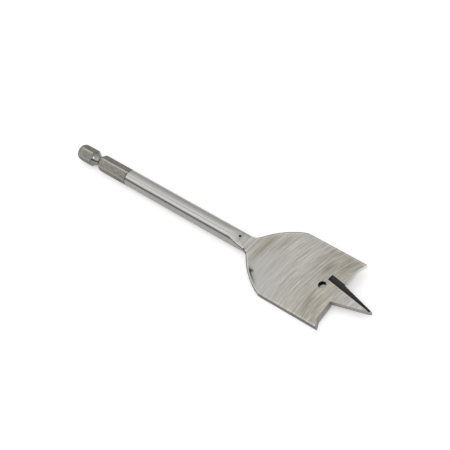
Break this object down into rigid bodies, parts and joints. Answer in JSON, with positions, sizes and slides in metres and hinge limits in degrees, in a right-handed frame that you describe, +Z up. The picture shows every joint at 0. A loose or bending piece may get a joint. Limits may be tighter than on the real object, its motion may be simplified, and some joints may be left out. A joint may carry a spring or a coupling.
{
  "type": "spade drill bit",
  "caption": "Flat wood-boring bit with a hex quick-change shank, round shaft, and a wide ground blade with centre point, spurs and hanging hole.",
  "frame": {"origin": "on the bit's axis at the shank end", "axes": "+X along the bit from the shank end to the centre point, +Z up from the floor it lies on; the blade is rolled about X by its rest angle, 8.33 degrees, so its -Y edge and the shaft touch the floor at z = -3.5 mm"},
  "size_m": [0.152, 0.0318, 0.007],
  "materials": {
    "steel": "ground satin steel, darker on the hex, dark scale left in the pressed channels"
  },
  "bodies": {
    "root": {"spade_bit": "steel"}
  },
  "joints": []
}
